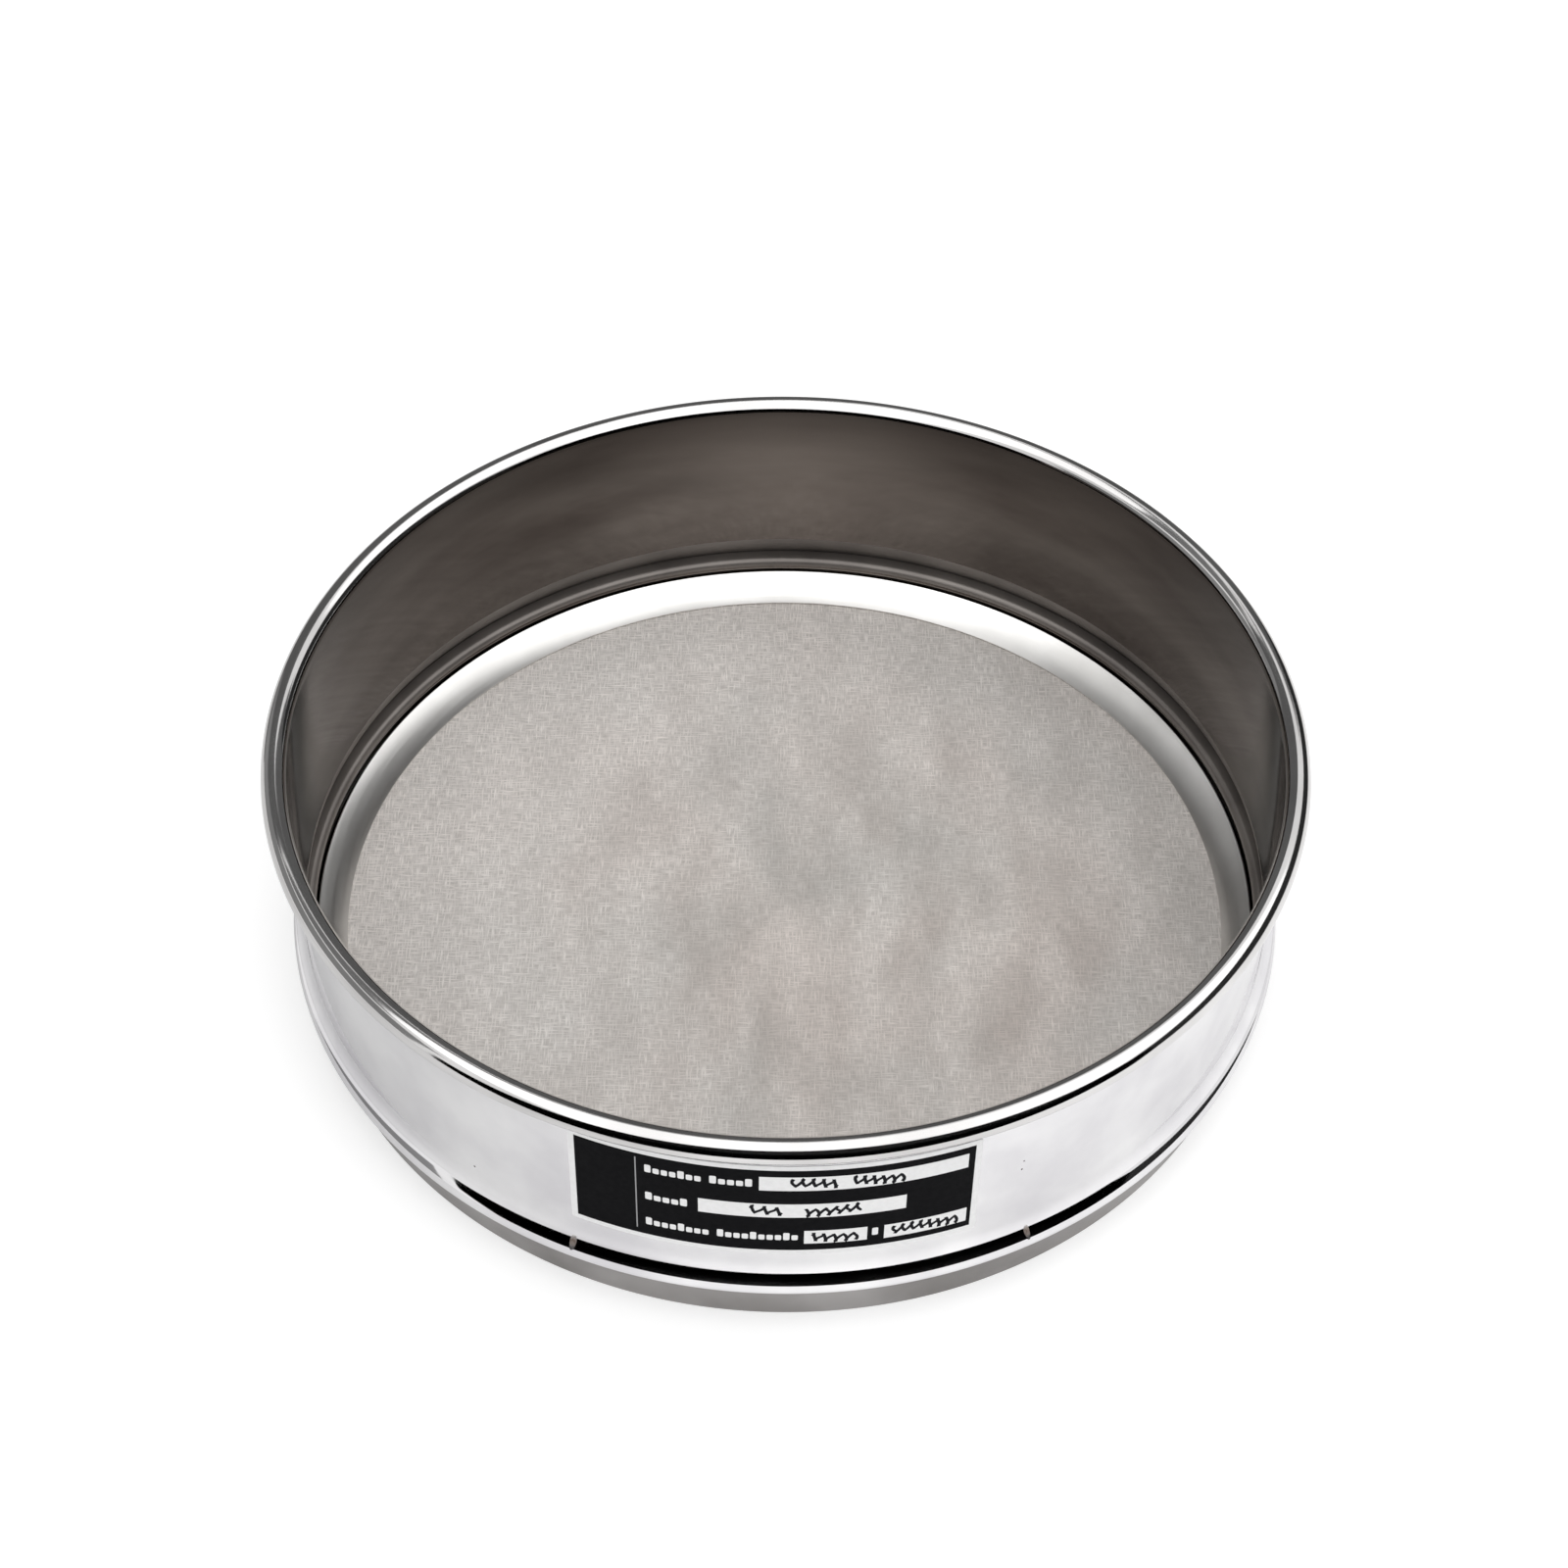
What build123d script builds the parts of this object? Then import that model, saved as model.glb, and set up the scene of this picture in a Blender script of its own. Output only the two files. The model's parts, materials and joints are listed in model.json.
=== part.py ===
from build123d import *
from math import atan2, cos, degrees, radians, sin, tan
import os

# A laboratory test sieve of 200 mm nominal size, in millimetres.
# The origin is the centre of the circle that the skirt stands on, and +Z is the sieve's axis.
# Every ring is sheet of one gauge: the middle line of its section, as (radius, height), is given
# the sheet's thickness and spun round Z. A bend is laid out in flats that touch its radius.

# ---- driving dimensions ----
BORE_RADIUS = 100.0            # inside of the straight wall: the nominal 200 mm
TOTAL_HEIGHT = 58.9            # standing face to the top of the rolled rim
GAUGE = 0.6                    # sheet of the wall, the skirt and both inner rings

RIM_ROLL_RADIUS = 2.5          # outside of the hollow roll at the top
RIM_ROLL_TURN = 315.0          # degrees of curl
RIM_ROLL_CORNERS = 7
RIM_ROLL_TIP = 0.1             # straight end of the sheet, which closes the roll on the wall

FLARE_TOP = 18.9               # height where the wall starts to turn outwards
FLARE_RADIUS = 6.5             # outside radius of that turn
FLARE_TURN = 48.5              # degrees, up to a sharp crease
FLARE_CORNERS = 3
BAND_FACING = 20.0             # degrees above level that the band under the crease faces
BAND_LENGTH = 1.27             # from the crease to the hem
HEM_RADIUS = 0.7               # outside of the hem round the skirt's flange
HEM_CORNERS = 2
HEM_LEG = 1.5                  # flat leg of the hem under the flange

SKIRT_RADIUS = 99.5            # outside of the skirt: 0.5 mm play in the bore that it nests in
SKIRT_BEND = 1.2               # middle-line radius between the skirt and its flange
SKIRT_CORNERS = 2
FLANGE_PLAY = 0.02             # between the flange and the leg of the hem
FLANGE_SHORT = 0.15            # its cut edge stops this far inside the centre of the hem

CLOTH_HEIGHT = 4.7             # middle of the stretched cloth above the standing face
CLOTH_THICKNESS = 0.1          # wire cloth of about 0.05 mm aperture
CLOTH_PLAY = 0.02              # between the cloth and each ring
CLOTH_MARGIN_SHORT = 0.6       # the turned-up edge stops this far short of the clamp ring's rim

CLAMP_INNER_RADIUS = 93.0      # middle of the clamp ring's lower edge
CLAMP_OUTER_RADIUS = 98.6      # middle of its rim, just inside the skirt
CLAMP_RISE = 5.1               # from that lower edge to the rim

SUPPORT_OPENING_RADIUS = 91.0  # clear opening of the support ring's flat lip
SUPPORT_FLANGE_FOOT = 3.2      # lower edge of its upright flange
SUPPORT_PLAY = 0.02            # between that flange and the skirt
SUPPORT_BEND = 1.0             # middle-line radius between its cone and its flange
SUPPORT_CORNERS = 2

LABEL_WIDTH = 77.8             # measured round the wall
LABEL_HEIGHT = 27.6
LABEL_THICKNESS = 0.15
LABEL_CORNER = 0.6
LABEL_CENTRE_ARC = -1.6        # round the wall from the front (-Y), towards +X
LABEL_CENTRE_HEIGHT = 35.45
LABEL_TILT = 0.5               # degrees, right-hand end lower

HALF = GAUGE / 2
WALL_OUTSIDE = BORE_RADIUS + GAUGE


def polar(centre, radius, angle):
    """Point at a radius and an angle from a centre of the section; 0 degrees is outwards."""
    return (centre[0] + radius * cos(radians(angle)), centre[1] + radius * sin(radians(angle)))


def bend(centre, radius, from_angle, to_angle, corners):
    """Corners between the flats that touch a bend's radius; angles in degrees."""
    step = (to_angle - from_angle) / corners
    reach = radius / cos(radians(step / 2))
    return [polar(centre, reach, from_angle + step * (i + 0.5)) for i in range(corners)]


def spin(middle_line, thickness=GAUGE):
    """Sheet of one thickness on both sides of its middle line, cut square and spun round Z."""
    section = trace(Polyline(*middle_line), line_width=thickness)
    return revolve(Plane.XZ * section, axis=Axis.Z, revolution_arc=360)


# ---- the clamp: clamp ring, cloth and support ring nest on one cone ----
CLOTH_OFFSET = HALF + CLOTH_PLAY + CLOTH_THICKNESS / 2
SUPPORT_OFFSET = 2 * CLOTH_OFFSET
CLAMP_FOOT = (CLAMP_INNER_RADIUS, CLOTH_HEIGHT + CLOTH_OFFSET)
CLAMP_RIM = (CLAMP_OUTER_RADIUS, CLAMP_FOOT[1] + CLAMP_RISE)
CLAMP_SLOPE = degrees(atan2(CLAMP_RISE, CLAMP_OUTER_RADIUS - CLAMP_INNER_RADIUS))


def nested_corner(offset):
    """Corner where a layer that lies an offset under the clamp ring turns from cone to flat."""
    reach = offset / cos(radians(CLAMP_SLOPE / 2))
    return polar(CLAMP_FOOT, reach, CLAMP_SLOPE / 2 - 90)


def frame_wall():
    """Side wall: hollow rolled rim, straight wall, flare, band and hem that holds the skirt."""
    roll_centre = (BORE_RADIUS + RIM_ROLL_RADIUS, TOTAL_HEIGHT - RIM_ROLL_RADIUS)
    roll_end = 180 - RIM_ROLL_TURN
    roll = bend(roll_centre, RIM_ROLL_RADIUS - HALF, roll_end, 180, RIM_ROLL_CORNERS)
    roll_tip = polar(polar(roll_centre, RIM_ROLL_RADIUS - HALF, roll_end), RIM_ROLL_TIP, roll_end - 90)
    flare_centre = (WALL_OUTSIDE + FLARE_RADIUS, FLARE_TOP)
    flare_end = 180 + FLARE_TURN
    flare = bend(flare_centre, FLARE_RADIUS + HALF, 180, flare_end, FLARE_CORNERS)
    crease = polar(flare_centre, FLARE_RADIUS + HALF, flare_end)
    hem_start = polar(crease, BAND_LENGTH, BAND_FACING - 90)
    hem_centre = polar(hem_start, HEM_RADIUS - HALF, BAND_FACING + 180)
    hem = bend(hem_centre, HEM_RADIUS - HALF, BAND_FACING, -90, HEM_CORNERS)
    leg_end = (hem_centre[0] - HEM_LEG, hem_centre[1] - HEM_RADIUS + HALF)
    return spin([roll_tip, *roll, *flare, crease, *hem, leg_end]), hem_centre


def nesting_skirt(hem_centre):
    """Skirt that the sieve stands on: flange in the hem, bend and upright ring."""
    middle = SKIRT_RADIUS - HALF
    flange_height = hem_centre[1] - HEM_RADIUS + GAUGE + FLANGE_PLAY + HALF
    corners = bend((middle + SKIRT_BEND, flange_height - SKIRT_BEND), SKIRT_BEND, 90, 180, SKIRT_CORNERS)
    flange_edge = (hem_centre[0] - FLANGE_SHORT, flange_height)
    return spin([flange_edge, *corners, (middle, 0)])


def support_ring():
    """Pressed ring under the cloth: upright flange in the skirt, cone and flat lip."""
    upright = SKIRT_RADIUS - GAUGE - SUPPORT_PLAY - HALF
    lip_start = nested_corner(SUPPORT_OFFSET)
    bend_radius = upright - SUPPORT_BEND
    cone_height = lip_start[1] + (bend_radius - lip_start[0]) * tan(radians(CLAMP_SLOPE))
    bend_centre = (bend_radius, cone_height - SUPPORT_BEND / cos(radians(CLAMP_SLOPE)))
    corners = bend(bend_centre, SUPPORT_BEND, 0, 90 + CLAMP_SLOPE, SUPPORT_CORNERS)
    lip_end = (SUPPORT_OPENING_RADIUS, lip_start[1])
    return spin([(upright, SUPPORT_FLANGE_FOOT), *corners, lip_start, lip_end])


def wire_cloth():
    """Stretched disc of wire cloth, its edge turned up between the two cones."""
    rim = polar(CLAMP_RIM, CLOTH_OFFSET, CLAMP_SLOPE - 90)
    edge = polar(rim, -CLOTH_MARGIN_SHORT, CLAMP_SLOPE)
    return spin([edge, nested_corner(CLOTH_OFFSET), (0, CLOTH_HEIGHT)], CLOTH_THICKNESS)


def clamp_ring():
    """Cone, its cut edge on the cloth, that presses the cloth on the support ring."""
    edge = polar(CLAMP_FOOT, -HALF * tan(radians(CLAMP_SLOPE / 2)), CLAMP_SLOPE)
    return spin([CLAMP_RIM, edge])


def data_label():
    """Adhesive label bent round the front of the wall, a little out of level."""
    outside = WALL_OUTSIDE + LABEL_THICKNESS
    skin = Cylinder(outside, TOTAL_HEIGHT) - Cylinder(WALL_OUTSIDE, TOTAL_HEIGHT)
    half_width = outside * sin(LABEL_WIDTH / 2 / WALL_OUTSIDE)
    outline = Rot(0, 0, -LABEL_TILT) * RectangleRounded(2 * half_width, LABEL_HEIGHT, LABEL_CORNER)
    # The outline is punched through the skin from the front.
    label = extrude(Plane.XZ * outline, amount=outside) & skin
    turn = degrees(LABEL_CENTRE_ARC / WALL_OUTSIDE)
    return Pos(0, 0, LABEL_CENTRE_HEIGHT) * Rot(0, 0, turn) * label


wall, hem_centre = frame_wall()
pieces = {
    "frame_wall": wall,
    "nesting_skirt": nesting_skirt(hem_centre),
    "support_ring": support_ring(),
    "wire_cloth": wire_cloth(),
    "clamp_ring": clamp_ring(),
    "data_label": data_label(),
}
os.makedirs("parts", exist_ok=True)
for name, piece in pieces.items():
    export_step(piece, os.path.join("parts", name + ".step"))
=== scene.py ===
import json
from math import atan, atan2, ceil, cos, degrees, hypot, pi, radians, sin, sqrt, tau

import bpy
from mathutils import Matrix, Vector, noise

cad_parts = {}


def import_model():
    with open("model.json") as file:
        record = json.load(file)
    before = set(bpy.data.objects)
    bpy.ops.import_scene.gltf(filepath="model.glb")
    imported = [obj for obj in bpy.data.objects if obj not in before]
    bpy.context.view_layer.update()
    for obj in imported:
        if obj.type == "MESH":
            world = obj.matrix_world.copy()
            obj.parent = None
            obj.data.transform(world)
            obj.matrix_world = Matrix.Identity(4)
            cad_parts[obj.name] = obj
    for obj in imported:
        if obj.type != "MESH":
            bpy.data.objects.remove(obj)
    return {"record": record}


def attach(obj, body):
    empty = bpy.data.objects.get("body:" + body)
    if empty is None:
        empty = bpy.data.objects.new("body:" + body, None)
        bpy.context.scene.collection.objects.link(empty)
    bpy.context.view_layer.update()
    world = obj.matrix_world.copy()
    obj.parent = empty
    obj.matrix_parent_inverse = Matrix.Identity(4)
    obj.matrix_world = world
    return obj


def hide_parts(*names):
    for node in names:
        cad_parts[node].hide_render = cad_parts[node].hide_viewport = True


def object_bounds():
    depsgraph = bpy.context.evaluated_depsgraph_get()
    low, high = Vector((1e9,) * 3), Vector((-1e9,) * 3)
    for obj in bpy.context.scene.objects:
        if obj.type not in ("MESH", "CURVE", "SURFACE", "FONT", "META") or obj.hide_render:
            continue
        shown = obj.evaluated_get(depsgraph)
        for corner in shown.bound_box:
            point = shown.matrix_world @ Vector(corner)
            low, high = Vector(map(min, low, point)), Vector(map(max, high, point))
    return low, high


# A 200 mm laboratory test sieve on a pale table, seen from the front and above.
# Sections of the rings are (radius, height) in millimetres, and meshes are made in metres.
# On the wall a place is (arc, height): millimetres round from the front towards +X, and up.

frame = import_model()
cad_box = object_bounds()

MM = 0.001
TURN_STEPS = 400               # sides of every turned ring
RING_SMOOTH_ANGLE = 25         # degrees between faces of a ring, above which an edge stays sharp

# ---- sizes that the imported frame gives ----
mounts = {mount["name"]: mount for mount in frame["record"]["mounts"]}
BORE_RADIUS = mounts["wall_bore"]["dims"]["r_mm"]
SKIRT_RADIUS = mounts["skirt_spigot"]["dims"]["r_mm"]
TOTAL_HEIGHT = cad_box[1].z / MM
ROLL_RADIUS = (cad_box[1].x / MM - BORE_RADIUS) / 2

# ---- sheet metal ----
GAUGE = 0.6
HALF = GAUGE / 2
WALL_OUTSIDE = BORE_RADIUS + GAUGE
EDGE_BREAK = 0.12              # how far a cut edge is chamfered
ROLL_TURN = 311                # degrees of curl of the rolled rim
# the bore's darker look on these sides is painted reflection
DARK_ROLL_FACES = 5            # sides of the roll's inner curve that have the bore's darker look
FLARE_TOP = 18.9
FLARE_RADIUS = 6.5
FLARE_TURN = 48.5              # degrees, up to its sharp crease
FLARE_END_GAP = 1              # degrees that the smooth turn stops short of that crease
BAND_START = 0.1               # from the crease to the band's first station
BAND_FACING = 20               # degrees above level that the band under the flare faces
BAND_LENGTH = 1.27
HEM_RADIUS = 0.7
HEM_LEG = 1.5                  # flat leg of the hem under the skirt's flange
SKIRT_BEND = 1.2
FLANGE_SHORT = 0.15            # the flange's edge stops this far inside the centre of the hem
CLOTH_HEIGHT = 4.7
CLOTH_THICKNESS = 0.1
CLOTH_EDGE_SHORT = 0.6         # its edge stops this far below the clamp ring's rim
CLOTH_CENTRE = 0.02            # radius at which the turned disc is closed
PLAY = 0.02                    # between pieces that are pressed together
CLOTH_OFFSET = HALF + PLAY + CLOTH_THICKNESS / 2
CLAMP_FOOT = (93.0, CLOTH_HEIGHT + CLOTH_OFFSET)
CLAMP_RIM = (98.5, CLAMP_FOOT[1] + 5.03)
CLAMP_BOW_TURN = 18            # degrees that its section turns between its two edges
SUPPORT_OPENING = 91.0
SUPPORT_FOOT = 3.2
SUPPORT_BEND = 1.0
RIPPLE = 0.012                 # how far the spun sheet wanders from a true circle
RIPPLE_AROUND = 3.2            # more of it gives shorter waves round the sieve
RIPPLE_UP = 28                 # millimetres of height to one step of its noise

# ---- colours, as a duller and a brighter tone of each sheet ----
WALL_TONES = ((0.66, 0.65, 0.67), (0.82, 0.815, 0.82))
RIM_TONES = ((0.57, 0.56, 0.555), (0.69, 0.68, 0.675))
# painted shade: the skirt's steel is darker than the wall's, standing in for the shaded table
# beside its foot that it mirrors
SKIRT_SHADED_TONES = ((0.25, 0.238, 0.23), (0.38, 0.366, 0.36))
CLAMP_TONES = ((0.72, 0.71, 0.69), (0.88, 0.87, 0.85))
SUPPORT_TONES = ((0.5, 0.49, 0.48), (0.62, 0.61, 0.6))
# painted reflection: the insides of the rings are a dark warm mirror, darker than the outside
INSIDE_REFLECTION_TONES = ((0.078, 0.066, 0.06), (0.145, 0.13, 0.119))
SHADE_TONE = (0.03, 0.026, 0.024)
# painted reflection: a pale patch at the back of the bore
BACK_REFLECTION_TONE = (0.36, 0.325, 0.3)
# painted shade: the satin folds under the flare and in the hem are painted dark
FOLD_SHADED_TONES = ((0.15, 0.135, 0.125), (0.23, 0.21, 0.195))
BURNT_TONES = ((0.26, 0.2, 0.17), (0.5, 0.43, 0.39))
CLOTH_COOL = ((0.5, 0.478, 0.452), (0.7, 0.672, 0.64))
CLOTH_WARM = ((0.525, 0.472, 0.438), (0.72, 0.662, 0.622))
# painted light: the pale tone that brightens the cloth towards its edge
CLOTH_EDGE_LIGHT = (0.95, 0.91, 0.875)
CLOTH_GAPS = (0.3, 0.275, 0.255)

# ---- where a tone changes: a centre in metres, and a near and a far distance or two heights ----
# where the painted reflection at the back of the bore lies
BACK_REFLECTION_CENTRE = (0, BORE_RADIUS * MM, 0.036)
BACK_REFLECTION_REACH = (0.004, 0.05)
BACK_REFLECTION_SHARE = 0.42
SHADE_HEIGHTS = (0.042, 0.057)
SHADE_SHARE = 0.5
# where the painted light on the cloth lies
EDGE_LIGHT_CENTRE = (0.02, -0.008, 0)
EDGE_LIGHT_REACH = (0.035, 0.11)
EDGE_LIGHT_SHARE = 0.78
BURNT_REACH = (0.0005, 0.0016)

# ---- how fast noise changes: turns round, radius and height, or the object's X, Y and Z ----
POLISH_LINES = (30, 2000, 5200)
INNER_LINES = (24, 2000, 4200)
INNER_CLOUDS = (11, 1, 75)
WARP = (3000, 300, 1)
WEFT = (300, 3000, 1)
CLOTH_CLOUDS = (75, 34, 1)
CLOTH_DRIFT = (26, 18, 1)

# ---- the printed label ----
LABEL_CENTRE = (-1.6, 35.45)
LABEL_SIZE = (77.8, 27.6)
LABEL_BORDER = 1.3
LABEL_CORNER = 0.6
LABEL_TILT = 0.5               # degrees, right-hand end lower
LABEL_FILM = 0.1
PRINT_FILM = 0.02
SUNK = 0.03                    # how far the film reaches into the wavy wall
PANEL_STEP = 1.5               # longest straight side along a bent panel
LETTER_HEIGHTS = (2.3, 1.6)    # of every fourth letter block, and of the others
LETTER_GAP = 0.35
LETTER_CORNER = 0.3
PEN_HALF_WIDTH = 0.32
PEN_RISE = 1.85                # highest point of the pen's waves over their middle
PEN_WAVE_STEPS = 12
DIVIDER = (-27.35, -27.1, 24.6, 46.8)          # its left, right, bottom and top
BOXES = (                                      # the same four, for each white box
    (-4.3, 34.7, 41.8, 46.0),
    (-15.5, 23.1, 33.4, 37.6),
    (4.2, 16.0, 25.0, 29.1),
    (19.2, 35.2, 24.7, 28.9),
)
WORDS = (                                      # start, end, base line and number of letters
    (-25.5, -14.6, 42.8, 7), (-13.4, -5.2, 42.8, 5),
    (-25.5, -17.2, 34.3, 5),
    (-25.5, -13.2, 26.2, 8), (-12.0, 3.4, 26.2, 10), (16.9, 18.4, 26.2, 1),
)
PEN_STROKES = (                                # start, end, middle height and number of waves
    (1.0, 10.5, 43.8, 5), (12.5, 23.0, 43.8, 6),
    (-6.5, 0.5, 35.4, 3), (3.8, 15.0, 35.4, 6),
    (5.2, 14.8, 27.0, 5), (20.3, 34.0, 26.7, 8),
)

# ---- marks on the outside ----
SPOT_WELDS = (-22.9, 27.3)     # degrees round from the front, towards +X
SPOT_FACING = 216.5            # degrees round the flare's section to the middle of a mark
SPOT_TALL = 15                 # degrees of that section from its middle to its top
SPOT_WIDE = 0.007              # radians round the sieve from its middle to its side
SPOT_LIFT = 0.03               # its middle over the flare; its edge goes under the surface
SPOT_FALL = 0.045
SPECKS = ((-62.7, 21.5, 0.22), (46.5, 37.4, 0.16), (46.2, 35.0, 0.2))   # arc, height, half size
SPECK_SUNK = 0.02
SPECK_FILM = 0.03

# ---- table and room ----
TABLE_PAINT = (0.74, 0.74, 0.74, 1)
TABLE_SIDE = 1.0               # metres from its middle to its edge
TABLE_TOP = -0.00002           # just under the standing face
TABLE_TO_CAMERA = 0.45         # light added to the paint, as the camera sees it
TABLE_IN_STEEL = (0.08, 0.34)  # and as it is mirrored in steel, at the sieve's left and its right
TABLE_RAMP = (-0.1, -0.03)     # from where to where between those two, along X
ROOM_LEVEL = 0.5               # of the white room, as plain surfaces see it

# ---- the box of cards that polished steel mirrors, in metres ----
BOX_LEFT, BOX_RIGHT = -0.46, 0.46
BOX_NEAR, BOX_FAR = -0.218, 0.614
BOX_TOP = 0.91
SOFTBOX = ((-0.7, -1.6), (-0.7, 0.1), (0.05, 0.61), (1.1, 0.61), (1.1, -1.6))
CORNER = ((-0.9, -0.05), (-0.9, 0.61), (0.05, 0.61), (-0.7, 0.1))
NEAR = ((-0.16, 0.012), (0.36, 0.012), (0.46, 0.075), (0.46, 0.3), (-0.36, 0.15), (-0.36, 0.03))
FAR = ((-0.9, 0), (0.46, 0), (0.46, 0.64), (0.02, 0.64), (0, 0.8), (-0.9, 0.91))

# ---- camera, fitted to the circles of the rim and the hem ----
IMAGE_SIDE = 1600
FOCAL_PIXELS = 3087.4
CAMERA_DISTANCE = 0.6319       # metres from the aim
CAMERA_ELEVATION = 48.071      # degrees above level
CAMERA_ROLL = 0.518            # degrees
AIM = Vector((0, 0, 0.025))
AIM_PIXEL = (801.86, 858.17)   # where the aim is in the photograph


# ---- sections ----

def polar(centre, radius, angle):
    """Point of a section at a radius and an angle from a centre; 0 degrees is outwards."""
    return (centre[0] + radius * cos(radians(angle)), centre[1] + radius * sin(radians(angle)))


def arc(centre, radius, start, end, step=6):
    """Stations of a middle line round an arc: each is a point and the direction to its left."""
    count = max(2, ceil(abs(end - start) / step))
    side = -1 if end > start else 1
    angles = [start + (end - start) * i / count for i in range(count + 1)]
    return [(polar(centre, radius, a), polar((0, 0), side, a)) for a in angles]


def run(start, end, count=4):
    """Stations of a middle line along a straight stretch."""
    along = (end[0] - start[0], end[1] - start[1])
    length = hypot(*along)
    left = (-along[1] / length, along[0] / length)
    shares = [i / count for i in range(count + 1)]
    return [((start[0] + along[0] * s, start[1] + along[1] * s), left) for s in shares]


def offset(station, distance, back=0):
    """Point to the left of a station, and a little back along its line."""
    (radius, height), (left_x, left_y) = station
    return (radius + left_x * distance - left_y * back, height + left_y * distance + left_x * back)


def sheet(stations, thickness=GAUGE):
    """Closed outline of a sheet: its left side, one cut edge, its right side, the other edge."""
    half = thickness / 2
    edge = min(EDGE_BREAK, half / 2)
    first, *between, last = stations

    def side(distance):
        along = [offset(station, distance) for station in between]
        return [offset(first, distance, -edge), *along, offset(last, distance, edge)]

    far_edge = [offset(last, half - edge), offset(last, edge - half)]
    near_edge = [offset(first, edge - half), offset(first, half - edge)]
    return side(half) + far_edge + side(-half)[::-1] + near_edge


# ---- meshes ----

def ripple(angle, height):
    """Small wander of spun sheet in millimetres, mostly inwards so that it keeps its outer size."""
    place = Vector((RIPPLE_AROUND * cos(angle), RIPPLE_AROUND * sin(angle), height / RIPPLE_UP))
    return RIPPLE * (noise.noise(place) - 0.5)


def mesh_object(name, vertices, faces, materials, smooth_angle=35):
    """Object from points in metres, smooth up to an angle, that rides on the sieve."""
    mesh = bpy.data.meshes.new(name)
    mesh.from_pydata(vertices, [], faces)
    for material in materials:
        mesh.materials.append(material)
    mesh.shade_smooth()
    mesh.set_sharp_from_angle(angle=radians(smooth_angle))
    mesh.validate()
    piece = bpy.data.objects.new(name, mesh)
    bpy.context.scene.collection.objects.link(piece)
    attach(piece, "root")
    return piece


def turned(name, outline, material, shares=()):
    """Ring whose closed outline is turned round Z; shares give ranges of faces other materials."""
    count = len(outline)
    vertices = []
    for step in range(TURN_STEPS):
        angle = tau * step / TURN_STEPS
        for radius, height in outline:
            reach = (radius + ripple(angle, height)) * MM
            vertices.append((reach * cos(angle), reach * sin(angle), height * MM))
    faces = []
    for step in range(TURN_STEPS):
        here = step * count
        there = (step + 1) % TURN_STEPS * count
        for i in range(count):
            j = (i + 1) % count
            faces.append((here + i, there + i, there + j, here + j))
    materials = [material, *[other for _, other in shares]]
    piece = mesh_object(name, vertices, faces, materials, RING_SMOOTH_ANGLE)
    for number, polygon in enumerate(piece.data.polygons):
        for index, (share, _) in enumerate(shares):
            if number % count in share:
                polygon.material_index = index + 1
    return piece


def on_wall(place, radius):
    """Point in metres at (arc, height) on a cylinder of a radius in millimetres."""
    angle = place[0] / WALL_OUTSIDE
    return (radius * sin(angle) * MM, -radius * cos(angle) * MM, place[1] * MM)


def wall_slab(name, strips, lift, thickness, material):
    """Thin closed slabs bent round the wall; each station of a strip is a low and a high place."""
    inside, outside = WALL_OUTSIDE + lift, WALL_OUTSIDE + lift + thickness
    vertices, faces = [], []
    for stations in strips:
        first = len(vertices)
        for low, high in stations:
            vertices += [on_wall(low, outside), on_wall(high, outside)]
            vertices += [on_wall(high, inside), on_wall(low, inside)]
        faces.append(tuple(first + k for k in (3, 2, 1, 0)))
        for i in range(len(stations) - 1):
            a, b = first + 4 * i, first + 4 * (i + 1)
            faces += [(a + k, a + (k + 1) % 4, b + (k + 1) % 4, b + k) for k in range(4)]
        last = first + 4 * (len(stations) - 1)
        faces.append(tuple(last + k for k in range(4)))
    return mesh_object(name, vertices, faces, [material], smooth_angle=40)


# ---- materials ----

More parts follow.
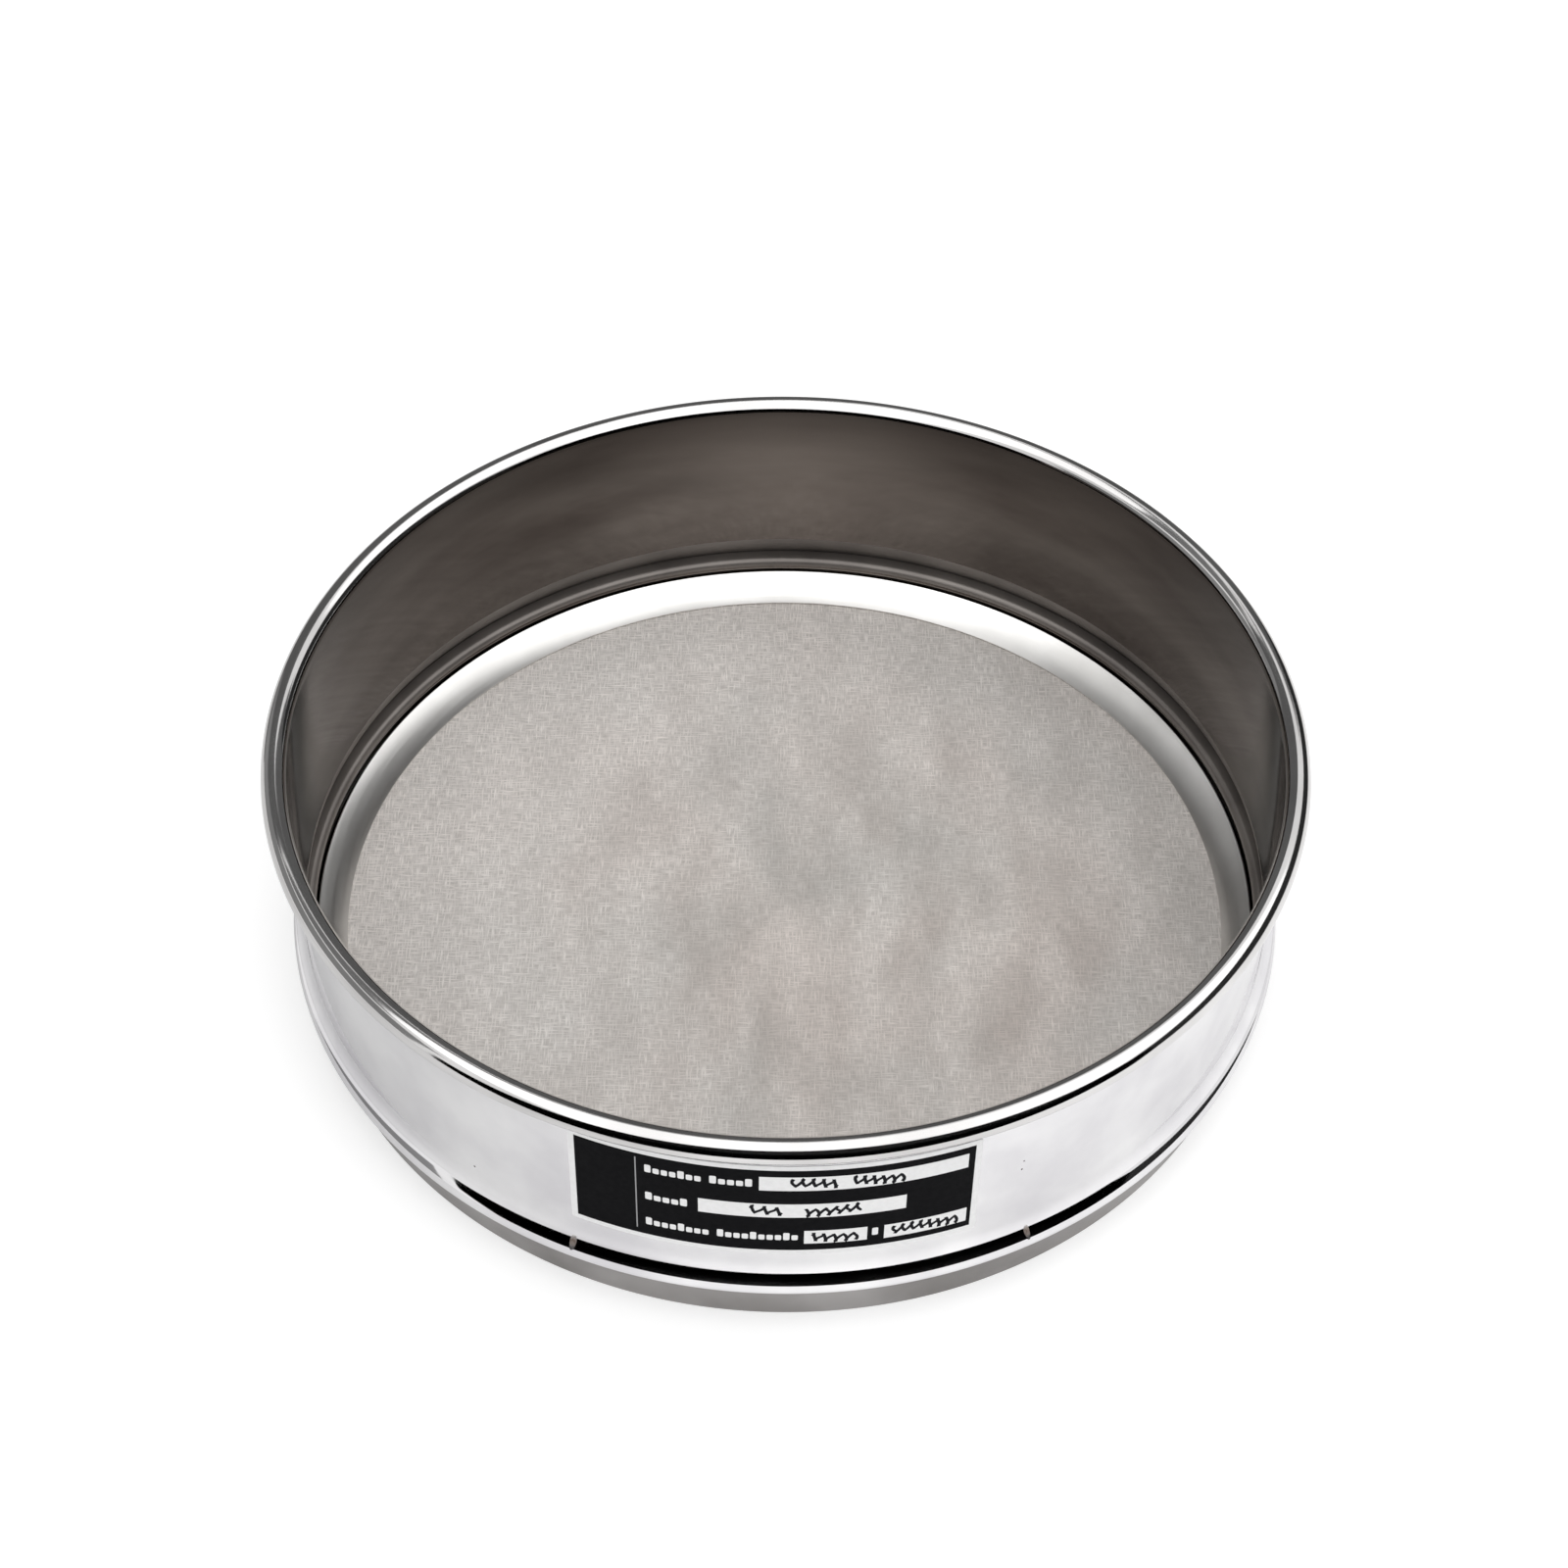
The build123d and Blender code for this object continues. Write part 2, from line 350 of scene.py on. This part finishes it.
class Look:
    """Node material with a Principled shader, and short ways to add and join its nodes."""

    def __init__(self, name, base, metallic, roughness):
        self.material = bpy.data.materials.new(name)
        self.material.use_nodes = True
        self.tree = self.material.node_tree
        self.shader = self.tree.nodes["Principled BSDF"]
        self.shader.inputs["Base Color"].default_value = (*base, 1)
        self.shader.inputs["Metallic"].default_value = metallic
        self.shader.inputs["Roughness"].default_value = roughness
        self.place = self.node("ShaderNodeTexCoord").outputs["Object"]

    def node(self, kind, **settings):
        """New node with some of its settings."""
        made = self.tree.nodes.new(kind)
        for key, value in settings.items():
            setattr(made, key, value)
        return made

    def link(self, source, target):
        self.tree.links.new(source, target)

    def math(self, operation, first, second=0.0):
        """Result of a sum; each value is a number or the output of another node."""
        made = self.node("ShaderNodeMath", operation=operation)
        for socket, value in zip(made.inputs, (first, second)):
            if isinstance(value, (int, float)):
                socket.default_value = value
            else:
                self.link(value, socket)
        return made.outputs[0]

    def axes(self):
        """X, Y and Z of the object's own coordinates."""
        parts = self.node("ShaderNodeSeparateXYZ")
        self.link(self.place, parts.inputs[0])
        return list(parts.outputs)

    def distance_from(self, centre):
        """Distance from a place in the object's own coordinates."""
        made = self.node("ShaderNodeVectorMath", operation="DISTANCE")
        self.link(self.place, made.inputs[0])
        made.inputs[1].default_value = centre
        return made.outputs["Value"]

    def round_wall(self):
        """Coordinates that run round the axis: (turns, radius, height), all in metres but turns."""
        x, y, z = self.axes()
        turns = self.math("MULTIPLY", self.math("ARCTAN2", x, y), 1 / tau)
        squares = [self.math("POWER", axis, 2.0) for axis in (x, y)]
        radius = self.math("SQRT", self.math("ADD", *squares))
        joined = self.node("ShaderNodeCombineXYZ")
        for socket, value in zip(joined.inputs, (turns, radius, z)):
            self.link(value, socket)
        return joined.outputs[0]

    def grain(self, scale, detail=2.0, coordinates=None, stretch=(1, 1, 1)):
        """Noise from 0 to 1; stretch multiplies the coordinates."""
        mapping = self.node("ShaderNodeMapping")
        mapping.inputs["Scale"].default_value = stretch
        self.link(coordinates or self.place, mapping.inputs["Vector"])
        texture = self.node("ShaderNodeTexNoise")
        texture.inputs["Scale"].default_value = scale
        texture.inputs["Detail"].default_value = detail
        self.link(mapping.outputs[0], texture.inputs["Vector"])
        return texture.outputs["Fac"]

    def span(self, value, low, high, from_low=0.35, from_high=0.65):
        """Value held between two limits, by default those of noise, and spread low to high."""
        made = self.node("ShaderNodeMapRange")
        made.inputs["From Min"].default_value = from_low
        made.inputs["From Max"].default_value = from_high
        made.inputs["To Min"].default_value = low
        made.inputs["To Max"].default_value = high
        self.link(value, made.inputs["Value"])
        return made.outputs["Result"]

    def blend(self, share, first, second):
        """Mix of two colours by a share; each is a triple or the output of another node."""
        made = self.node("ShaderNodeMix", data_type="RGBA")
        self.link(share, made.inputs["Factor"])
        for socket, value in ((made.inputs[6], first), (made.inputs[7], second)):
            if isinstance(value, tuple):
                socket.default_value = (*value, 1)
            else:
                self.link(value, socket)
        return made.outputs[2]

    def bump(self, height, distance, under=None):
        """Normal of a fine relief, whose depth is a distance in metres."""
        made = self.node("ShaderNodeBump")
        made.inputs["Distance"].default_value = distance
        self.link(height, made.inputs["Height"])
        if under:
            self.link(under, made.inputs["Normal"])
        return made.outputs[0]

    def finish(self, colour, roughness=None, normal=None):
        """The material, once its shader is joined up."""
        for socket, value in (("Base Color", colour), ("Roughness", roughness), ("Normal", normal)):
            if value is not None:
                self.link(value, self.shader.inputs[socket])
        return self.material


def polished_steel(name, tones, smoothest=0.03, roughest=0.09, metallic=1.0):
    """Polished sheet: faint turning lines, cloudy patches and a slight wander of the surface."""
    dull, bright = tones
    look = Look(name, bright, metallic, smoothest)
    around = look.round_wall()
    clouds = look.grain(38, 4)
    lines = look.grain(1, 3, around, POLISH_LINES)
    colour = look.blend(look.span(clouds, 0.0, 1.0), dull, bright)
    roughness = look.span(lines, smoothest, roughest, 0.3, 0.7)
    dents = look.bump(look.grain(26, 1), 0.00012)
    return look.finish(colour, roughness, look.bump(lines, 0.0000006, under=dents))


def inner_mirror(name="inner_mirror"):
    """Inside of a ring: a mirror whose dark warm tone is painted reflection, with clouds, a painted
    reflection at the back and painted shade at the top.
    """
    look = Look(name, INSIDE_REFLECTION_TONES[1], 1.0, 0.06)
    around = look.round_wall()
    clouds = look.grain(1, 5, around, INNER_CLOUDS)
    lines = look.grain(1, 3, around, INNER_LINES)
    colour = look.blend(look.span(clouds, 0.0, 1.0, 0.3, 0.7), *INSIDE_REFLECTION_TONES)
    # Painted reflection: a pale patch at the back of the inside.
    back_reflection = look.span(look.distance_from(BACK_REFLECTION_CENTRE), BACK_REFLECTION_SHARE, 0.0, *BACK_REFLECTION_REACH)
    colour = look.blend(back_reflection, colour, BACK_REFLECTION_TONE)
    shade = look.span(look.axes()[2], 0.0, SHADE_SHARE, *SHADE_HEIGHTS)
    colour = look.blend(shade, colour, SHADE_TONE)
    roughness = look.span(lines, 0.06, 0.12, 0.3, 0.7)
    return look.finish(colour, roughness, look.bump(look.grain(22, 1), 0.0001))


def woven_wire():
    """Fine wire cloth: linen-like lines both ways, and clouds of pink and green grey."""
    look = Look("woven_wire", (0.56, 0.52, 0.49), 0.3, 0.6)
    weave = look.math("MAXIMUM", look.grain(1, 3, stretch=WARP), look.grain(1, 3, stretch=WEFT))
    clouds = look.span(look.grain(1, 6, stretch=CLOTH_CLOUDS), 0.0, 1.0, 0.36, 0.64)
    drift = look.span(look.grain(1, 4, stretch=CLOTH_DRIFT), 0.0, 1.0, 0.38, 0.62)
    colour = look.blend(drift, look.blend(clouds, *CLOTH_COOL), look.blend(clouds, *CLOTH_WARM))
    # Painted light: the cloth is brighter towards its edge, most of all on its left, standing in
    # for light that the steel walls throw back.
    edge_light = look.span(look.distance_from(EDGE_LIGHT_CENTRE), 0.0, EDGE_LIGHT_SHARE, *EDGE_LIGHT_REACH)
    colour = look.blend(edge_light, colour, CLOTH_EDGE_LIGHT)
    colour = look.blend(look.span(weave, 0.58, 0.0, 0.42, 0.7), colour, CLOTH_GAPS)
    return look.finish(colour, normal=look.bump(weave, 0.00002))


def printed_film(name, base, roughness):
    """Printed plastic film with a fine uneven gloss."""
    look = Look(name, base, 0.0, roughness)
    look.shader.inputs["Specular IOR Level"].default_value = 0.04
    mottle = look.grain(900, 2)
    colour = look.blend(look.span(mottle, 0.0, 1.0), tuple(c * 0.95 for c in base), base)
    uneven = look.span(mottle, roughness - 0.05, roughness + 0.05)
    return look.finish(colour, uneven, look.bump(mottle, 0.000004))


def spot_mark(name, centre):
    """Heat-tinted steel of a spot weld, fading into the polish away from its centre."""
    look = Look(name, (0.6, 0.5, 0.46), 0.9, 0.35)
    fleck = look.grain(1600, 3)
    inside = look.span(look.distance_from(centre), 1.0, 0.0, *BURNT_REACH)
    burnt = look.blend(look.span(fleck, 0.0, 1.0), *BURNT_TONES)
    colour = look.blend(inside, WALL_TONES[1], burnt)
    return look.finish(colour, look.span(inside, 0.06, 0.5, 0.0, 1.0), look.bump(fleck, 0.00001))


# ---- the sieve ----

def crease(corner, first_facing, second_facing):
    """Station of a sharp bend between two straight stretches that face the given angles."""
    reach = 1 / cos(radians((first_facing - second_facing) / 2))
    return corner, polar((0, 0), reach, (first_facing + second_facing) / 2)


def frame_wall():
    """Rolled rim, straight wall, flare, band and hem. Painted reflection darkens the mirror in its
    bore, and painted shade darkens its fold.
    """
    middle = BORE_RADIUS + HALF
    roll_centre = (BORE_RADIUS + ROLL_RADIUS, TOTAL_HEIGHT - ROLL_RADIUS)
    roll = arc(roll_centre, ROLL_RADIUS - HALF, 180 - ROLL_TURN, 180)
    wall = run((middle, roll_centre[1]), (middle, FLARE_TOP), 24)
    flare_centre = (WALL_OUTSIDE + FLARE_RADIUS, FLARE_TOP)
    flare_end = 180 + FLARE_TURN - FLARE_END_GAP
    flare = arc(flare_centre, FLARE_RADIUS + HALF, 180, flare_end, 3)
    corner = polar(flare_centre, FLARE_RADIUS + HALF, 180 + FLARE_TURN)
    band = run(*[polar(corner, reach, BAND_FACING - 90) for reach in (BAND_START, BAND_LENGTH)])
    hem_centre = polar(band[-1][0], HEM_RADIUS - HALF, BAND_FACING + 180)
    hem = arc(hem_centre, HEM_RADIUS - HALF, BAND_FACING, -90, 7)
    leg_start = polar(hem_centre, HEM_RADIUS - HALF, -90)
    leg = run(leg_start, (leg_start[0] - HEM_LEG, leg_start[1]))
    turn = [*flare[1:], crease(corner, FLARE_TURN, BAND_FACING), *band]
    stations = roll + wall[1:] + turn + hem[1:] + leg[1:]
    # The left side is the wall's outside. The right side follows it and one cut edge: it comes
    # back under the skirt's flange, up the bore and round the roll.
    right_side = len(stations) + 2
    bore_side = right_side + len(stations) - len(roll) - len(wall) + 1
    fold_faces = range(right_side, bore_side)
    roll_side = bore_side + len(wall) - 1
    inner_faces = range(bore_side, roll_side + DARK_ROLL_FACES)
    rim_faces = range(roll_side + DARK_ROLL_FACES, roll_side + len(roll) - 1)
    steel = polished_steel("outer_polish", WALL_TONES)
    rim_steel = polished_steel("rim_polish", RIM_TONES, 0.06, 0.13)
    # Painted shade: the satin fold under the flare and round the hem is painted dark.
    fold_steel = polished_steel("fold_satin", FOLD_SHADED_TONES, 0.45, 0.55, 0.6)
    # The bore has the painted dark reflection, and the fold has painted shade.
    shares = [(inner_faces, inner_mirror()), (rim_faces, rim_steel), (fold_faces, fold_steel)]
    piece = turned("sieve_wall", sheet(stations), steel, shares)
    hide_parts("frame_wall")
    return hem_centre


def nesting_skirt(hem_centre):
    """Skirt with its flange in the hem: painted shade darkens its outside and its flange, and
    painted reflection darkens the mirror on its inside.
    """
    middle = SKIRT_RADIUS - HALF
    flange_height = hem_centre[1] - HEM_RADIUS + GAUGE + PLAY + HALF
    bend_centre = (middle + SKIRT_BEND, flange_height - SKIRT_BEND)
    flange = run((hem_centre[0] - FLANGE_SHORT, flange_height), (bend_centre[0], flange_height))
    bend = arc(bend_centre, SKIRT_BEND, 90, 180)
    ring = run((middle, bend_centre[1]), (middle, 0), 12)
    stations = flange + bend[1:] + ring[1:]
    # The right side is the inside, from the foot of the ring up to the flange.
    right_side = len(stations) + 2
    fold_side = right_side + len(ring) - 1
    inner_faces = range(right_side, fold_side)
    fold_faces = range(fold_side, right_side + len(stations) - 1)
    # Painted shade: the skirt's outside is a darker polish than the wall.
    steel = polished_steel("skirt_polish", SKIRT_SHADED_TONES, 0.12, 0.25)
    # Painted shade: the satin flange in the hem is painted dark.
    fold_steel = polished_steel("flange_satin", FOLD_SHADED_TONES, 0.3, 0.4, 0.6)
    shares = [(fold_faces, fold_steel), (inner_faces, inner_mirror("inner_skirt"))]
    piece = turned("skirt", sheet(stations), steel, shares)
    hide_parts("nesting_skirt")


def cone_curve():
    """Centre, radius and the two end angles of the clamp ring's bowed middle line."""
    across = (CLAMP_RIM[0] - CLAMP_FOOT[0], CLAMP_RIM[1] - CLAMP_FOOT[1])
    radius = hypot(*across) / (2 * sin(radians(CLAMP_BOW_TURN / 2)))
    normal = 90 + degrees(atan2(across[1], across[0]))
    foot_angle = normal + CLAMP_BOW_TURN / 2
    rim_angle = normal - CLAMP_BOW_TURN / 2
    return polar(CLAMP_FOOT, -radius, foot_angle), radius, foot_angle, rim_angle


def nested_layer(distance, rim_angle, lip_radius):
    """Stations of a layer under the clamp ring: cone, bend under its foot and flat lip."""
    centre, radius, foot_angle, _ = cone_curve()
    cone = arc(centre, radius - distance, rim_angle, foot_angle, 3)
    bend = arc(CLAMP_FOOT, distance, foot_angle - 180, -90)
    lip_height = CLAMP_FOOT[1] - distance
    return cone + bend + run((CLAMP_FOOT[0], lip_height), (lip_radius, lip_height), 3)[1:]


def clamp_ring():
    """Bright bowed cone that presses the cloth on the support ring."""
    centre, radius, foot_angle, rim_angle = cone_curve()
    steel = polished_steel("clamp_polish", CLAMP_TONES, 0.28, 0.36)
    stations = arc(centre, radius, rim_angle, foot_angle, 1)
    piece = turned("clamp", sheet(stations), steel)
    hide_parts("clamp_ring")


def support_ring():
    """Upright flange, bend, cone and lip of the ring that carries the cloth."""
    distance = 2 * CLOTH_OFFSET
    centre, radius, _, _ = cone_curve()
    middle = SKIRT_RADIUS - GAUGE - PLAY - HALF
    bend_radius = middle - SUPPORT_BEND
    reach = radius - distance - SUPPORT_BEND
    rise = sqrt(reach ** 2 - (centre[0] - bend_radius) ** 2)
    bend_centre = (bend_radius, centre[1] + rise)
    touch = degrees(atan2(rise, bend_radius - centre[0]))
    flange = run((middle, SUPPORT_FOOT), (middle, bend_centre[1]))
    bend = arc(bend_centre, SUPPORT_BEND, 0, touch)
    layer = nested_layer(distance, touch, SUPPORT_OPENING)
    steel = polished_steel("support_mill", SUPPORT_TONES, 0.18, 0.3)
    piece = turned("support", sheet(flange + bend[1:] + layer[1:]), steel)
    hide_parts("support_ring")


def wire_cloth():
    """Stretched cloth: a disc whose edge is turned up between the two rings."""
    _, radius, _, rim_angle = cone_curve()
    edge_angle = rim_angle + degrees(CLOTH_EDGE_SHORT / radius)
    margin = nested_layer(CLOTH_OFFSET, edge_angle, CLAMP_FOOT[0] - 1)
    disc = run(margin[-1][0], (CLOTH_CENTRE, CLOTH_HEIGHT), 60)
    piece = turned("cloth", sheet(margin + disc[1:], CLOTH_THICKNESS), woven_wire())
    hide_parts("wire_cloth")


# ---- the label ----

def tilted(place):
    """Place on the label after the label's own tilt."""
    across, up = place[0] - LABEL_CENTRE[0], place[1] - LABEL_CENTRE[1]
    lean = radians(LABEL_TILT)
    return (
        LABEL_CENTRE[0] + across * cos(lean) + up * sin(lean),
        LABEL_CENTRE[1] - across * sin(lean) + up * cos(lean),
    )


def panel(left, right, bottom, top, corner=0.0):
    """Stations of an upright rectangle on the label, its corners rounded."""
    count = max(2, ceil((right - left) / PANEL_STEP))
    arcs = [left + (right - left) * i / count for i in range(1, count)]
    turn = [corner * (1 - cos(radians(a))) for a in (0, 30, 60, 90)] if corner else [0]
    arcs = [left + t for t in turn] + [a for a in arcs if left + corner < a < right - corner]
    arcs += [right - t for t in reversed(turn)]
    stations = []
    for a in arcs:
        inset = max(0.0, corner - min(a - left, right - a))
        cut = corner - sqrt(max(0.0, corner ** 2 - inset ** 2))
        stations.append((tilted((a, bottom + cut)), tilted((a, top - cut))))
    return stations


def letter_blocks(start, end, base, count):
    """Strips of plain blocks, some of them tall, that stand for the letters of a printed word."""
    pitch = (end - start) / count
    strips = []
    for i in range(count):
        top = base + LETTER_HEIGHTS[0 if i % 4 == 0 else 1]
        left = start + pitch * i
        strips.append(panel(left, left + pitch - LETTER_GAP, base, top, LETTER_CORNER))
    return strips


def pen_stroke(start, end, height, waves):
    """Stations of a running wave of the pen that stands for handwriting and spells nothing."""
    points = []
    count = waves * PEN_WAVE_STEPS
    for i in range(count + 1):
        share = i / count
        turn = tau * waves * share
        rise = PEN_RISE * (0.66 + 0.34 * sin(0.9 * turn + start)) * sin(turn)
        lean = 0.25 * rise + 0.3 * sin(2 * turn)
        points.append((start + (end - start) * share + lean, height + rise))
    stations = []
    for (x0, z0), (x, z), (x1, z1) in zip(points, points[1:], points[2:]):
        length = hypot(x1 - x0, z1 - z0)
        dx = -(z1 - z0) / length * PEN_HALF_WIDTH
        dz = (x1 - x0) / length * PEN_HALF_WIDTH
        stations.append((tilted((x - dx, z - dz)), tilted((x + dx, z + dz))))
    return stations


def data_label():
    """White film, black field, white boxes, plain blocks for words and waves for writing."""
    white = printed_film("label_white", (0.97, 0.97, 0.97), 0.55)
    black = printed_film("label_black", (0.004, 0.004, 0.005), 0.6)
    grey = printed_film("label_grey", (0.4, 0.4, 0.41), 0.55)
    ink = printed_film("label_ink", (0.012, 0.012, 0.015), 0.6)
    left = LABEL_CENTRE[0] - LABEL_SIZE[0] / 2
    right = LABEL_CENTRE[0] + LABEL_SIZE[0] / 2
    bottom = LABEL_CENTRE[1] - LABEL_SIZE[1] / 2
    top = LABEL_CENTRE[1] + LABEL_SIZE[1] / 2
    border = LABEL_BORDER
    outline = [panel(left, right, bottom, top, LABEL_CORNER)]
    field = [panel(left + border, right - border, bottom + border, top - border)]
    letters = [block for word in WORDS for block in letter_blocks(*word)]
    strokes = [pen_stroke(*stroke) for stroke in PEN_STROKES]
    prints = LABEL_FILM + PRINT_FILM
    half_film = PRINT_FILM / 2
    film = wall_slab("label_film", outline, -SUNK, SUNK + LABEL_FILM, white)
    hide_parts("data_label")
    pieces = [
        film,
        wall_slab("label_field", field, LABEL_FILM, PRINT_FILM, black),
        wall_slab("label_divider", [panel(*DIVIDER)], prints, half_film, grey),
        wall_slab("label_boxes", [panel(*box) for box in BOXES], prints, half_film, white),
        wall_slab("label_words", letters, prints, half_film, white),
        wall_slab("pen_strokes", strokes, prints + half_film, half_film, ink),
    ]


def spot_marks():
    """Two small heat-tinted marks that lie on the flare, where the skirt is spot welded."""
    centre = (WALL_OUTSIDE + FLARE_RADIUS, FLARE_TOP)
    rings, spokes = 6, 28
    for number, degrees_round in enumerate(SPOT_WELDS):
        vertices = []
        for ring in range(rings + 1):
            share = ring / rings
            for spoke in range(spokes):
                turn = tau * spoke / spokes
                swing = SPOT_FACING + SPOT_TALL * share * sin(turn)
                around = radians(degrees_round - 90) + SPOT_WIDE * share * cos(turn)
                lift = SPOT_LIFT - SPOT_FALL * share ** 2
                radius, height = polar(centre, FLARE_RADIUS - lift, swing)
                vertices.append((radius * cos(around) * MM, radius * sin(around) * MM, height * MM))
        faces = []
        for ring in range(rings):
            for spoke in range(spokes):
                a, b = ring * spokes + spoke, ring * spokes + (spoke + 1) % spokes
                faces.append((a, b, b + spokes, a + spokes))
        material = spot_mark(f"spot_mark_{number}", vertices[0])
        piece = mesh_object(f"spot_mark_{number}", vertices, faces, [material])


def specks():
    """Tiny dark specks on the outside of the wall."""
    stain = printed_film("speck", (0.08, 0.06, 0.05), 0.5)
    for number, (across, height, size) in enumerate(SPECKS):
        dot = panel(across - size, across + size, height - size, height + size, size)
        slab = wall_slab(f"speck_{number}", [dot], -SPECK_SUNK, SPECK_FILM, stain)


# ---- table, light and camera ----

def when_seen(tree, outputs, seen, lit):
    """Shader that is one thing on rays of the given kinds, and another on all the rest."""
    path = tree.nodes.new("ShaderNodeLightPath")
    share = path.outputs[outputs[0]]
    for output in outputs[1:]:
        either = tree.nodes.new("ShaderNodeMath")
        either.operation = "MAXIMUM"
        tree.links.new(share, either.inputs[0])
        tree.links.new(path.outputs[output], either.inputs[1])
        share = either.outputs[0]
    mix = tree.nodes.new("ShaderNodeMixShader")
    tree.links.new(share, mix.inputs[0])
    tree.links.new(lit, mix.inputs[1])
    tree.links.new(seen, mix.inputs[2])
    return mix.outputs[0]


def world(diffuse_level):
    """White room, at a plain level where it lights a surface."""
    made = bpy.data.worlds.new("pale_room")
    made.use_nodes = True
    tree = made.node_tree
    lit = tree.nodes["Background"]
    lit.inputs["Strength"].default_value = diffuse_level
    lit.inputs["Color"].default_value = (1, 1, 1, 1)
    seen = tree.nodes.new("ShaderNodeBackground")
    seen.inputs["Color"].default_value = (1, 1, 1, 1)
    rays = ("Is Camera Ray", "Is Glossy Ray", "Is Transmission Ray")
    shader = when_seen(tree, rays, seen.outputs[0], lit.outputs[0])
    tree.links.new(shader, tree.nodes["World Output"].inputs["Surface"])
    bpy.context.scene.world = made


def stage_plane(name, corners, material):
    """Flat plane of the stage, which is no part of the sieve."""
    mesh = bpy.data.meshes.new(name)
    mesh.from_pydata(corners, [], [tuple(range(len(corners)))])
    mesh.materials.append(material)
    plane = bpy.data.objects.new(name, mesh)
    bpy.context.scene.collection.objects.link(plane)
    return plane


def lifted(tree, paint, left, right):
    """Table paint with a little light of its own, from a level at the left to one at the right."""
    glow = tree.nodes.new("ShaderNodeEmission")
    if left == right:
        glow.inputs["Strength"].default_value = left
    else:
        place = tree.nodes.new("ShaderNodeTexCoord")
        parts = tree.nodes.new("ShaderNodeSeparateXYZ")
        ramp = tree.nodes.new("ShaderNodeMapRange")
        for socket, value in zip(ramp.inputs[1:5], (*TABLE_RAMP, left, right)):
            socket.default_value = value
        tree.links.new(place.outputs["Object"], parts.inputs[0])
        tree.links.new(parts.outputs[0], ramp.inputs["Value"])
        tree.links.new(ramp.outputs["Result"], glow.inputs["Strength"])
    both = tree.nodes.new("ShaderNodeAddShader")
    tree.links.new(paint, both.inputs[0])
    tree.links.new(glow.outputs[0], both.inputs[1])
    return both.outputs[0]


def table():
    """Pale table that shows white and keeps the sieve's soft shadow."""
    material = bpy.data.materials.new("table")
    material.use_nodes = True
    tree = material.node_tree
    tree.nodes.remove(tree.nodes["Principled BSDF"])
    paint = tree.nodes.new("ShaderNodeBsdfDiffuse")
    paint.inputs["Color"].default_value = TABLE_PAINT
    plain_paint = paint.outputs[0]
    in_steel = lifted(tree, plain_paint, *TABLE_IN_STEEL)
    mirrored = when_seen(tree, ["Is Glossy Ray"], in_steel, plain_paint)
    rays = ("Is Camera Ray", "Is Transmission Ray")
    to_camera = lifted(tree, plain_paint, TABLE_TO_CAMERA, TABLE_TO_CAMERA)
    shader = when_seen(tree, rays, to_camera, mirrored)
    tree.links.new(shader, tree.nodes["Material Output"].inputs["Surface"])
    corners = [(x * TABLE_SIDE, y * TABLE_SIDE) for x, y in ((-1, -1), (1, -1), (1, 1), (-1, 1))]
    stage_plane("table", [(x, y, TABLE_TOP) for x, y in corners], material)


def glow_card(name, corners, strength, lights=False):
    """Flat card that polished steel mirrors; the camera never sees it, and it casts no shadow."""
    material = bpy.data.materials.new(name)
    material.use_nodes = True
    tree = material.node_tree
    tree.nodes.remove(tree.nodes["Principled BSDF"])
    glow = tree.nodes.new("ShaderNodeEmission")
    glow.inputs["Strength"].default_value = strength
    tree.links.new(glow.outputs[0], tree.nodes["Material Output"].inputs["Surface"])
    card = stage_plane(name, corners, material)
    card.visible_camera = False
    card.visible_shadow = False
    card.visible_diffuse = lights


def side_card(start, end, bottom, start_top, end_top):
    """Corners of an upright card between two places on the table."""
    return [(*start, bottom), (*end, bottom), (*end, end_top), (*start, start_top)]


def studio():
    """Room, table, and the softbox and dark cards that the polished steel mirrors."""
    world(ROOM_LEVEL)
    table()
    glow_card("overhead_softbox", [(x, y, BOX_TOP) for x, y in SOFTBOX], 1.7, lights=True)
    glow_card("corner_card", [(x, y, BOX_TOP) for x, y in CORNER], 0.2)
    glow_card("near_card", [(x, BOX_NEAR, z) for x, z in NEAR], 0.0)
    glow_card("far_card", [(x, BOX_FAR, z) for x, z in FAR], 0.13)
    right = side_card((BOX_RIGHT, BOX_NEAR), (BOX_RIGHT, BOX_FAR), 0.075, 0.32, 0.5)
    glow_card("right_card", right, 0.03)
    left = side_card((BOX_LEFT, BOX_NEAR), (BOX_LEFT, 0.45), 0.085, 0.39, 0.39)
    glow_card("left_card", left, 0.28)


def camera():
    """Camera at the photograph's place, from the fitted distance, elevation, aim and roll."""
    tip = radians(CAMERA_ELEVATION)
    forward, up = Vector((0, cos(tip), -sin(tip))), Vector((0, sin(tip), cos(tip)))
    right = Vector((1, 0, 0))
    place = AIM - CAMERA_DISTANCE * forward
    yaw = -atan((AIM_PIXEL[0] - IMAGE_SIDE / 2) / FOCAL_PIXELS)
    pitch = atan((AIM_PIXEL[1] - IMAGE_SIDE / 2) / FOCAL_PIXELS)
    forward, right = cos(yaw) * forward + sin(yaw) * right, cos(yaw) * right - sin(yaw) * forward
    forward, up = cos(pitch) * forward + sin(pitch) * up, cos(pitch) * up - sin(pitch) * forward
    lean = radians(CAMERA_ROLL)
    right, up = cos(lean) * right + sin(lean) * up, cos(lean) * up - sin(lean) * right
    data = bpy.data.cameras.new("camera")
    data.sensor_width = 36
    data.lens = FOCAL_PIXELS / IMAGE_SIDE * data.sensor_width
    made = bpy.data.objects.new("camera", data)
    axes = Matrix((right, up, -forward)).transposed()
    made.matrix_world = Matrix.Translation(place) @ axes.to_4x4()
    bpy.context.scene.collection.objects.link(made)
    bpy.context.scene.camera = made


hem_centre = frame_wall()
nesting_skirt(hem_centre)
clamp_ring()
support_ring()
wire_cloth()
data_label()
spot_marks()
specks()
studio()
camera()
bpy.context.scene.view_settings.view_transform = "Standard"
